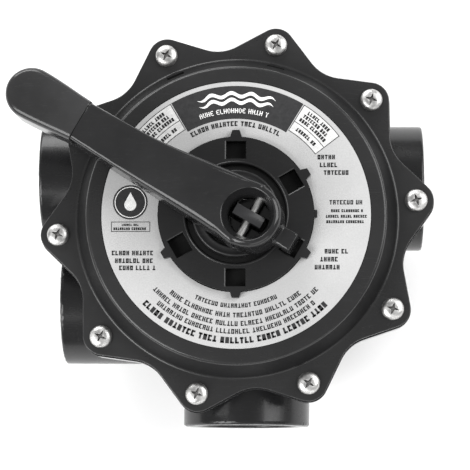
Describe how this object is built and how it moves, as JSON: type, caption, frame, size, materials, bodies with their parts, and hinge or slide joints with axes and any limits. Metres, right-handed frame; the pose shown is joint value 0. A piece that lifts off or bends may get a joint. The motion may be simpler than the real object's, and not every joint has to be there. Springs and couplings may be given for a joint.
{
  "type": "multiport valve",
  "caption": "Multiport pool filter valve: round bowl with threaded pipe ports, lobed screwed cover, position label and a lever handle that lifts and turns an inner rotor.",
  "frame": {"origin": "centre of the rear port's rim, on the rotor axis", "axes": "+Z along the rotor axis from the rear port up through the cover and handle; +X out of the right-hand port; -Y out of the front port"},
  "size_m": [0.2216, 0.2085, 0.162],
  "materials": {
    "body_plastic": "black moulded ABS, satin gloss with fine moulding texture and rubbed edges",
    "cover_plastic": "black moulded ABS, smooth satin gloss",
    "divider_plastic": "dark grey moulded plastic",
    "rotor_plastic": "black glass-filled plastic with faint flow marks",
    "gasket_rubber": "black moulded rubber",
    "label": "silver-grey printed label, matt lacquer",
    "screw_steel": "bright stainless steel, turned and lightly scuffed",
    "spring_steel": "stainless spring wire",
    "wear_plastic": "hard black acetal with a polished rubbing track",
    "handle_plastic": "black moulded plastic, glossy, soft highlights and fine scratches",
    "grip_plastic": "black moulded sleeve, glossy with a fine grain"
  },
  "bodies": {
    "casing": {"valve_body": "body_plastic", "seat_divider": "divider_plastic", "spider_gasket": "gasket_rubber", "cover_o_ring": "gasket_rubber", "cover": "cover_plastic", "label_ring": "label", "cover_screws": "screw_steel", "cover_nuts": "screw_steel", "wear_ring": "wear_plastic", "gauge_plug": "body_plastic", "plug_seal": "gasket_rubber"},
    "spring_stack": {"spring_washer_upper": "spring_steel", "spring": "spring_steel"},
    "rotor": {"rotor": "rotor_plastic", "spring_washer_lower": "spring_steel", "stem_o_ring_lower": "gasket_rubber", "stem_o_ring_upper": "gasket_rubber", "handle_pin": "screw_steel"},
    "handle": {"handle": "handle_plastic", "handle_grip": "grip_plastic"}
  },
  "joints": [
    {"name": "rotor_turn", "type": "hinge", "parent": "casing", "child": "spring_stack", "pos_m": [0, 0, 0], "axis": [0, 0, 1], "range_deg": [-180, 180]},
    {"name": "rotor_lift", "type": "slide", "parent": "spring_stack", "child": "rotor", "axis": [0, 0, 1], "range_m": [-0.00264, 0], "stiffness_N_per_m": 4000, "springref_m": -0.02, "deforming": ["spring"]},
    {"name": "handle_press", "type": "hinge", "parent": "rotor", "child": "handle", "pos_m": [0.00779, -0.0045, 0.14864], "axis": [-0.5, -0.866, 0], "range_deg": [-4.8, 0]}
  ],
  "couplings": [
    {"joint": "rotor_lift", "follows": "handle_press", "m_per_rad": 0.0315}
  ]
}
